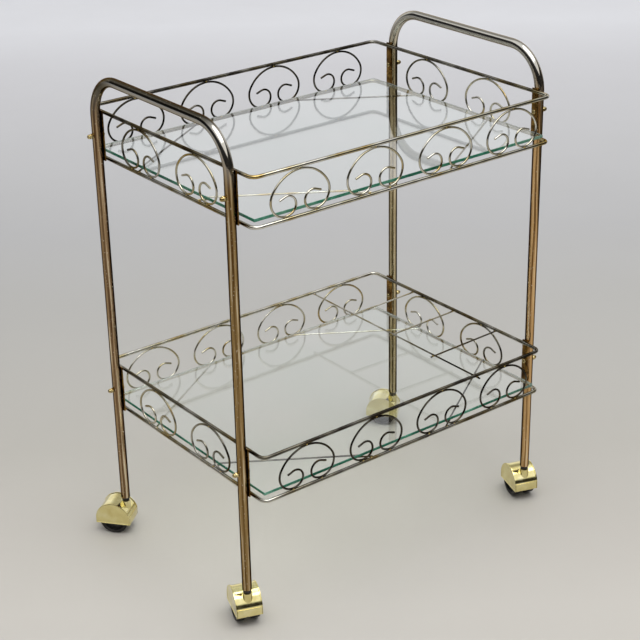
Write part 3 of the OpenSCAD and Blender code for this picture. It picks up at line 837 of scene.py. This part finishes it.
class TROLLEY_OT_bottle_rack(bpy.types.Operator):
    """Sweeps the crossbar and the dividers of the bottle rack"""
    bl_idname = "trolley.bottle_rack"
    bl_label = "Bottle rack"

    def execute(self, context):
        low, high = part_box("bottle_rack_crossbar")
        z = middle("bottle_rack_crossbar").z
        bar = wire("bottle_rack_crossbar_wire", [(RACK_X, y, z) for y in (low.y, 0, high.y)],
                   RACK_RADIUS, sides=RACK_SIDES)
        finish_piece(bar, "wire_brass", "bottle_rack_crossbar")
        low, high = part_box("bottle_rack_dividers")
        runs = [wire("divider", [(low.x, y, low.z + RACK_RADIUS), (high.x, y, high.z - RACK_RADIUS)],
                     RACK_RADIUS, sides=RACK_SIDES) for y in DIVIDER_YS]
        finish_piece(together("bottle_rack_dividers_wire", runs), "wire_brass", "bottle_rack_dividers")
        return {"FINISHED"}


class TROLLEY_OT_weld_spots(bpy.types.Operator):
    """Puts a lump of brazing wherever two wires meet"""
    bl_idname = "trolley.weld_spots"
    bl_label = "Weld spots"

    def execute(self, context):
        s, t = context.scene.trolley_scrolls, context.scene.trolley_trays
        shoulder_x = abs(max(scroll_path(s))[0]) - s.shoulder
        for number, tray in enumerate(TRAYS):
            bottom = tray_z(tray) + RAIL_RADIUS
            top = tray_z(tray) + RAIL_GAP - RAIL_RADIUS
            points = []
            for side, (x0, y0), step, count in scroll_rows(s):
                for i in range(count):
                    x, y = x0 + i * step[0], y0 + i * step[1]
                    points.append((x, y, top))
                    for foot in (-shoulder_x, shoulder_x):
                        points.append((x + foot, y, bottom) if step[0] else (x, y + foot, bottom))
            for sx, sy in QUARTERS:
                points += [(sx * t.support_x, sy * TRAY_Y, bottom), (sx * TRAY_X, sy * t.support_y, bottom)]
            if tray == "lower":
                points += [(RACK_X, sy * TRAY_Y, top) for sy in (-1, 1)]
                for y in DIVIDER_YS:
                    points += [(TRAY_X, y, top), (RACK_X, y, top - 2 * RACK_RADIUS)]
            spots = grow(tray + "_weld_spots", TREES["spots"], mesh_of("spots", points),
                         Radius=t.weld_radius, Seed=number, Finish=FINISHES["weld"])
            finish_piece(spots, "wire_brass")
        return {"FINISHED"}


class TROLLEY_OT_corner_plates(bpy.types.Operator):
    """Makes the upright straps between the trays and the legs"""
    bl_idname = "trolley.corner_plates"
    bl_label = "Corner plates"

    def execute(self, context):
        for tray in TRAYS:
            node = tray + "_corner_plates"
            low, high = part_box(node)
            half_width = high.y - LEG_Y
            straps = []
            for sx, sy in QUARTERS:
                near, far = sorted((sx * PLATE_X, sx * high.x))
                straps.append(bevelled_box("strap", (near, sy * LEG_Y - half_width, low.z),
                                           (far, sy * LEG_Y + half_width, high.z), 0.6 * MM, 3))
            plates = smooth(joined("straps", straps), 50)
            dressed(node + "_straps", plates, ["strap"], "plate_brass", node)
        return {"FINISHED"}


def bolt_head():
    """Pan head with a cross recess below the origin, its shank up the Z axis."""
    radius, height = 4.0 * MM, 2.6 * MM
    shank_radius, shank_end = 2.5 * MM, 24.9 * MM
    slot_reach, slot_half, slot_depth = 2.3 * MM, 0.5 * MM, 1.3 * MM
    rounding = height * 0.55
    profile = [(0, -height), (radius * 0.45, -height)]
    for a in map(math.radians, (10, 35, 60, 85)):
        profile.append((radius - rounding + rounding * math.sin(a), -height * 0.45 - rounding * math.cos(a)))
    profile += [(radius, 0), (shank_radius, 0), (shank_radius, shank_end), (0, shank_end)]
    head = placed("pan_head", lathe("pan_head", profile, 32, closed=False))
    cross = [bevelled_box("slot", (-x, -y, -height - MM), (x, y, slot_depth - height), 0.1 * MM, 1)
             for x, y in ((slot_reach, slot_half), (slot_half, slot_reach))]
    tool = placed("cross", joined("cross", cross))
    cut = head.modifiers.new("cross", "BOOLEAN")
    cut.object, cut.operation, cut.solver, cut.use_self = tool, "DIFFERENCE", "EXACT", True
    made = bpy.data.meshes.new_from_object(head.evaluated_get(bpy.context.evaluated_depsgraph_get()))
    for obj in (head, tool):
        bpy.data.objects.remove(obj)
    return made


def dome_nut():
    """Hexagon with rounded corners under a dome, its seat at the origin and its top up the Z axis."""
    across, height, dome = 8.0 * MM, 9.95 * MM, 3.7 * MM
    dome_foot = 4.6 * MM
    corner = across / math.sqrt(3)
    hexagon = [(corner * math.cos(a), corner * math.sin(a)) for a in (math.radians(60 * i) for i in range(6))]
    # Each ring of the prism: how wide it is against the full hexagon, and its height in millimetres.
    rings = ((0.9, 0), (1, 0.5), (1, 4.3), (0.88, 5.0))
    prism = lofted("hexagon", [[(x * k, y * k, z * MM) for x, y in hexagon] for k, z in rings])
    cap = [(0, dome_foot), (dome * 0.98, dome_foot), (dome, 5.2 * MM)]
    for a in map(math.radians, range(0, 90, 15)):
        cap.append((dome * math.cos(a), height - dome + dome * math.sin(a)))
    cap.append((0, height))
    return joined("dome_nut", [prism, lathe("dome", cap, 32, closed=False)])


class TROLLEY_OT_fasteners(bpy.types.Operator):
    """Puts the tray bolts and their dome nuts on the legs"""
    bl_idname = "trolley.fasteners"
    bl_label = "Bolts and nuts"

    def execute(self, context):
        nut_x = LEG_X + TUBE_RADIUS + WELD_GAP
        for kind, maker, x in (("bolts", bolt_head, PLATE_X), ("dome_nuts", dome_nut, nut_x)):
            mesh = smooth(maker(), 40)
            mesh.transform(Matrix.Rotation(math.pi / 2, 4, "Y"))
            pattern = placed(kind, mesh)
            for tray in TRAYS:
                node = f"{tray}_{kind}"
                z = middle(node).z
                seats = mesh_of("seats", [(sx * x, sy * LEG_Y, z) for sx in (1, -1) for sy in (-1, 1)])
                facing = seats.attributes.new("facing", "FLOAT_VECTOR", "POINT")
                for i, item in enumerate(facing.data):
                    item.vector = (0, 0, 0 if i < 2 else math.pi)
                row = grow(node + "_set", TREES["fasteners"], seats,
                           Fastener=pattern, Finish=FINISHES["fastener"])
                finish_piece(row, "steel", node)
            bpy.data.objects.remove(pattern)
        return {"FINISHED"}


class TROLLEY_OT_glass(bpy.types.Operator):
    """Makes the two panes, clear with green ground edges"""
    bl_idname = "trolley.glass"
    bl_label = "Glass"

    def execute(self, context):
        for tray in TRAYS:
            node = tray + "_glass"
            low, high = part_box(node)
            mesh = bevelled_box("pane", low, high, 0.5 * MM, 2)
            dressed(node + "_pane", mesh, ["glass", "edge"], "glass", node)
            for face in mesh.polygons:
                face.material_index = 0 if abs(face.normal.z) > 0.99 else 1
        return {"FINISHED"}


# ---- operators: casters

def hood_outline(c, inset, skirt, top):
    """Side view of the hood as (forward, height) points, drawn in by inset on every edge."""
    steps = 18
    back_r, front_r = c.hood_back - c.crown_back, c.front_radius
    end = math.acos((c.hood_front + c.crown_back - inset) / (front_r - inset))
    points = [(inset - c.hood_back, skirt + inset)]
    points += arc(-c.crown_back, top - back_r, back_r - inset, math.pi, math.pi / 2, steps)
    points += arc(-c.crown_back, top - front_r, front_r - inset, math.pi / 2, end, steps)[1:]
    points.append((c.hood_front - inset, skirt + inset))
    return points


def side_plate(c, skirt, top, side, thickness):
    """D-shaped plate with a rounded rim round a slightly sunk face."""
    outer = side * c.hood_width / 2
    # The rim's section, in millimetres: how far in from the edge, and how deep below the side.
    section = ((0, 0.7), (0.12, 0.3), (0.45, 0.05), (0.8, 0),
               (1.2, 0.05), (1.5, 0.3), (1.75, 0.55), (2.3, 0.62))
    steps = [(0.0, thickness)] + [(inset * MM, depth * MM) for inset, depth in section]
    return lofted("plate", [[(f, outer - side * depth, z) for f, z in hood_outline(c, inset, skirt, top)]
                            for inset, depth in steps])


def hood_mesh(c, skirt, top):
    """The whole hood in its own place: forward is +X, the stem's axis is Z."""
    plate_t, wall, rim, web = 2.2 * MM, 2.0 * MM, 1.0 * MM, 11 * MM
    inner_y = c.hood_width / 2 - plate_t
    parts = [side_plate(c, skirt, top, side, plate_t) for side in (-1, 1)]
    outer = hood_outline(c, rim, skirt - rim, top)
    inner = hood_outline(c, rim + wall, skirt - rim - wall, top)
    roof = outer + list(reversed(inner))
    parts.append(lofted("roof", [[(f, y, z) for f, z in roof] for y in (-inner_y, inner_y)]))
    # The web bites a little into the roof.
    bite = rim + wall * 0.9
    web_line = hood_outline(c, bite, skirt - bite, top)
    parts.append(lofted("web", [[(f, y, z) for f, z in web_line] for y in (-web / 2, web / 2)]))
    parts.append(bevelled_box("band", (c.hood_front - wall - rim, -c.hood_width / 2, skirt),
                              (c.hood_front, c.hood_width / 2, skirt + c.band_height), 0.35 * MM, 3))
    boss_r, bore_r, foot = 8 * MM, 4.03 * MM, 34 * MM
    edge, break_ = 0.8 * MM, 0.25 * MM
    boss = [(bore_r, foot), (boss_r, foot), (boss_r, top - edge), (boss_r - break_, top - break_),
            (boss_r - edge, top), (bore_r, top)]
    parts.append(lathe("boss", boss))
    return joined("hood", parts)


def at_leg(mesh, corner):
    """Moves a caster piece to its leg and turns it to its heading."""
    x = LEG_X if corner.endswith("right") else -LEG_X
    y = LEG_Y if corner.startswith("back") else -LEG_Y
    mesh.transform(Matrix.Translation((x, y, 0)) @ Matrix.Rotation(HEADINGS[corner], 4, "Z"))
    return mesh


class TROLLEY_OT_hoods(bpy.types.Operator):
    """Builds the polished brass hoods"""
    bl_idname = "trolley.hoods"
    bl_label = "Caster hoods"

    def execute(self, context):
        c = context.scene.trolley_casters
        for corner in CORNERS:
            node = corner + "_hood"
            skirt, top = (v.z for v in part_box(node))
            mesh = at_leg(smooth(hood_mesh(c, skirt, top), 32), corner)
            dressed(node + "_shell", mesh, ["hood"], "hood_brass", node, corner + "_caster")
        return {"FINISHED"}


def wheel_mesh(c):
    """Wheel about the Y axis with a rounded tread, a sunk disc and a hub."""
    r, h = c.wheel_radius, c.wheel_width / 2
    bore, hub, disc = 2.57 * MM, 6.5 * MM, 2 * MM
    inner = r - 6 * MM
    edge, fillet, chamfer = 1.6 * MM, 0.6 * MM, 0.4 * MM
    upper = [(bore, h), (hub - chamfer, h), (hub, h - chamfer), (hub, disc + fillet), (hub + fillet, disc),
             (inner - fillet, disc), (inner, disc + fillet), (inner, h - chamfer), (inner + chamfer, h)]
    for a in map(math.radians, (0, 22, 45, 68, 90)):
        upper.append((r - edge + edge * math.sin(a), h - edge + edge * math.cos(a)))
    mesh = lathe("wheel", upper + [(x, -y) for x, y in reversed(upper)], 72)
    mesh.transform(Matrix.Rotation(math.pi / 2, 4, "X"))
    return mesh


class TROLLEY_OT_wheels(bpy.types.Operator):
    """Turns the black wheels, and dresses the steel and the collars that carry them"""
    bl_idname = "trolley.wheels"
    bl_label = "Wheels and inner pieces"

    def execute(self, context):
        c = context.scene.trolley_casters
        for corner in CORNERS:
            for letter, side in (("a", -1), ("b", 1)):
                node = f"{corner}_wheel_{letter}"
                mesh = wheel_mesh(c)
                mesh.transform(Matrix.Translation((-c.trail, side * c.wheel_out, c.wheel_radius)))
                mesh = at_leg(smooth(mesh, 40), corner)
                dressed(node + "_tyre", mesh, ["wheel"], "wheel_rubber", node, node)
            for part in ("sleeve", "stem", "retaining_ring", "axle"):
                data = frame["nodes"][f"{corner}_{part}"].data
                data.materials.clear()
                data.materials.append(FINISHES["collar" if part == "sleeve" else "steel"])
        return {"FINISHED"}


# ---- the stage

def soft_lamp(name, place, towards, size, power):
    """A rectangular lamp that the camera doesn't see."""
    lamp = bpy.data.lights.new(name, "AREA")
    lamp.shape, lamp.size, lamp.size_y = "RECTANGLE", *size
    lamp.energy = power
    obj = placed(name, lamp)
    obj.location = place
    obj.rotation_euler = (Vector(towards) - Vector(place)).to_track_quat("-Z", "Y").to_euler()
    obj.visible_camera = False


def camera_matrix(s):
    """Where the camera stands and how it is turned."""
    flat = math.cos(s.elevation)
    away = Vector((math.sin(s.azimuth) * flat, -math.cos(s.azimuth) * flat, math.sin(s.elevation)))
    place = Vector(s.target) + away * s.distance
    right = (-away).cross(Vector((0, 0, 1))).normalized()
    up = right.cross(-away)
    turned = right * math.cos(s.roll) + up * math.sin(s.roll)
    upright = up * math.cos(s.roll) - right * math.sin(s.roll)
    rows = Matrix((turned, upright, away)).transposed().to_4x4()
    rows.translation = place
    return rows


def studio_floor(settings):
    """Pale paper under and behind the trolley."""
    mat, tree, shader = new_material("studio_floor")
    at = place_on(tree)[0]
    # Painted light and shade: the paper's tone by metres beyond the trolley; it is greyest about a metre
    # behind it and palest far beyond.
    near, far = -1.0, 4.0
    tones = ((-0.3, "c9c5be"), (-0.05, settings.floor), (0.25, "b8b5ae"), (0.95, "b5b4b1"),
             (1.4, "b9b9ba"), (2.0, "c7c7c9"), (2.9, "dadade"), (3.5, "eeeff4"))
    depth = maths(tree, "DIVIDE", maths(tree, "SUBTRACT", dot(tree, at, AWAY), near), far - near)
    shade = ramp(tree, depth, [((place - near) / (far - near), code) for place, code in tones])
    scuff = maths(tree, "MULTIPLY", noise(tree, at, 3.0, 6.0, 0.65), 0.10)
    shade = mix(tree, scuff, shade, linear("8f8a84"))
    # Painted reflection: to glossy rays only, the paper turns dark beyond 1.5 to 2 metres to the right.
    painted_dark_reflection = maths(tree, "MULTIPLY", rise(tree, dot(tree, at, ACROSS), 1.5, 2.0),
                  add(tree, "ShaderNodeLightPath").outputs["Is Glossy Ray"])
    tree.links.new(mix(tree, painted_dark_reflection, shade, linear("3a3733")), shader.inputs["Base Color"])
    shader.inputs["Roughness"].default_value = 0.6
    size = 9.0
    floor = mesh_of("floor", [(-size, -size, 0), (size, -size, 0), (size, size, 0), (-size, size, 0)],
                    faces=[(0, 1, 2, 3)])
    floor.materials.append(mat)
    placed("floor", floor)


def studio_world():
    """The light all round: a plain pale wall for the camera, a room with lamps for what shines."""
    world = bpy.data.worlds.new("studio")
    world.use_nodes = True
    tree = world.node_tree
    tree.nodes.clear()
    direction = add(tree, "ShaderNodeTexCoord").outputs["Generated"]
    sideways, _, height = add(tree, "ShaderNodeSeparateXYZ", Vector=direction).outputs
    # The room is dark up to its lamps, 20 degrees up in front and higher at both sides;
    # the backdrop beyond the trolley is bright up to its top edge.
    lift = maths(tree, "MULTIPLY", maths(tree, "ABSOLUTE", sideways), 0.40)
    level = maths(tree, "SUBTRACT", height, lift)
    room = ramp(tree, level, [(0.0, 0.03), (0.32, 0.03), (0.42, 1.1), (0.9, 1.0), (1.0, 0.85)])
    backdrop = ramp(tree, height, [(0.0, 0.9), (0.42, 0.95), (0.56, 0.45), (0.75, 0.35), (0.95, 0.85)])
    beyond = rise(tree, dot(tree, direction, AWAY), 0.35, 0.6)
    rays = add(tree, "ShaderNodeLightPath").outputs
    straight = maths(tree, "MAXIMUM", rays["Is Camera Ray"], rays["Is Transmission Ray"])
    seen = mix(tree, straight, mix(tree, beyond, room, backdrop), linear("dcdce0"))
    glow = add(tree, "ShaderNodeBackground", Color=seen, Strength=1.0)
    add(tree, "ShaderNodeOutputWorld", Surface=glow)
    return world


class TROLLEY_OT_stage(bpy.types.Operator):
    """Sets up the camera, the floor, the studio light and the view"""
    bl_idname = "trolley.stage"
    bl_label = "Camera, floor and light"

    def execute(self, context):
        scene = context.scene
        s = scene.trolley_stage
        view = bpy.data.cameras.new("photo_view")
        view.lens, view.sensor_width, view.sensor_fit = s.lens, 36, "HORIZONTAL"
        view.clip_end = 50
        scene.camera = placed("photo_view", view)
        scene.camera.matrix_world = camera_matrix(s)
        scene.view_settings.view_transform = "Standard"
        studio_floor(s)
        scene.world = studio_world()
        soft_lamp("top_box", (0.1, -1.0, 4.5), (0, 0, 0.3), (4.0, 3.0), 100)
        return {"FINISHED"}


# ---- panel and registration

STEPS = (TROLLEY_OT_stage, TROLLEY_OT_end_frames, TROLLEY_OT_rails, TROLLEY_OT_scrollwork,
         TROLLEY_OT_supports, TROLLEY_OT_bottle_rack, TROLLEY_OT_weld_spots, TROLLEY_OT_corner_plates,
         TROLLEY_OT_fasteners, TROLLEY_OT_glass, TROLLEY_OT_hoods, TROLLEY_OT_wheels)
GROUPS = (("trolley_frames", FrameSettings), ("trolley_trays", TraySettings),
          ("trolley_scrolls", ScrollSettings), ("trolley_casters", CasterSettings),
          ("trolley_stage", StageSettings))


class TROLLEY_PT_panel(bpy.types.Panel):
    """Lists the trolley's steps in the sidebar"""
    bl_idname = "TROLLEY_PT_panel"
    bl_label = "Dessert trolley"
    bl_space_type = "VIEW_3D"
    bl_region_type = "UI"
    bl_category = "Trolley"

    def draw(self, context):
        for step in STEPS:
            self.layout.operator(step.bl_idname)
        for name, group in GROUPS:
            box = self.layout.box()
            for key in group.__annotations__:
                box.prop(getattr(context.scene, name), key)


def register():
    for name, group in GROUPS:
        bpy.utils.register_class(group)
        setattr(bpy.types.Scene, name, PointerProperty(type=group))
    for cls in STEPS + (TROLLEY_PT_panel,):
        bpy.utils.register_class(cls)


def unregister():
    for cls in reversed(STEPS + (TROLLEY_PT_panel,)):
        bpy.utils.unregister_class(cls)
    for name, group in reversed(GROUPS):
        delattr(bpy.types.Scene, name)
        bpy.utils.unregister_class(group)


def main():
    register()
    make_finishes(bpy.context.scene)
    TREES.update(wire=wire_tree(), spots=spot_tree(), fasteners=fastener_tree())
    for step in STEPS:
        area, name = step.bl_idname.split(".")
        getattr(getattr(bpy.ops, area), name)()


if __name__ == "__main__":
    main()
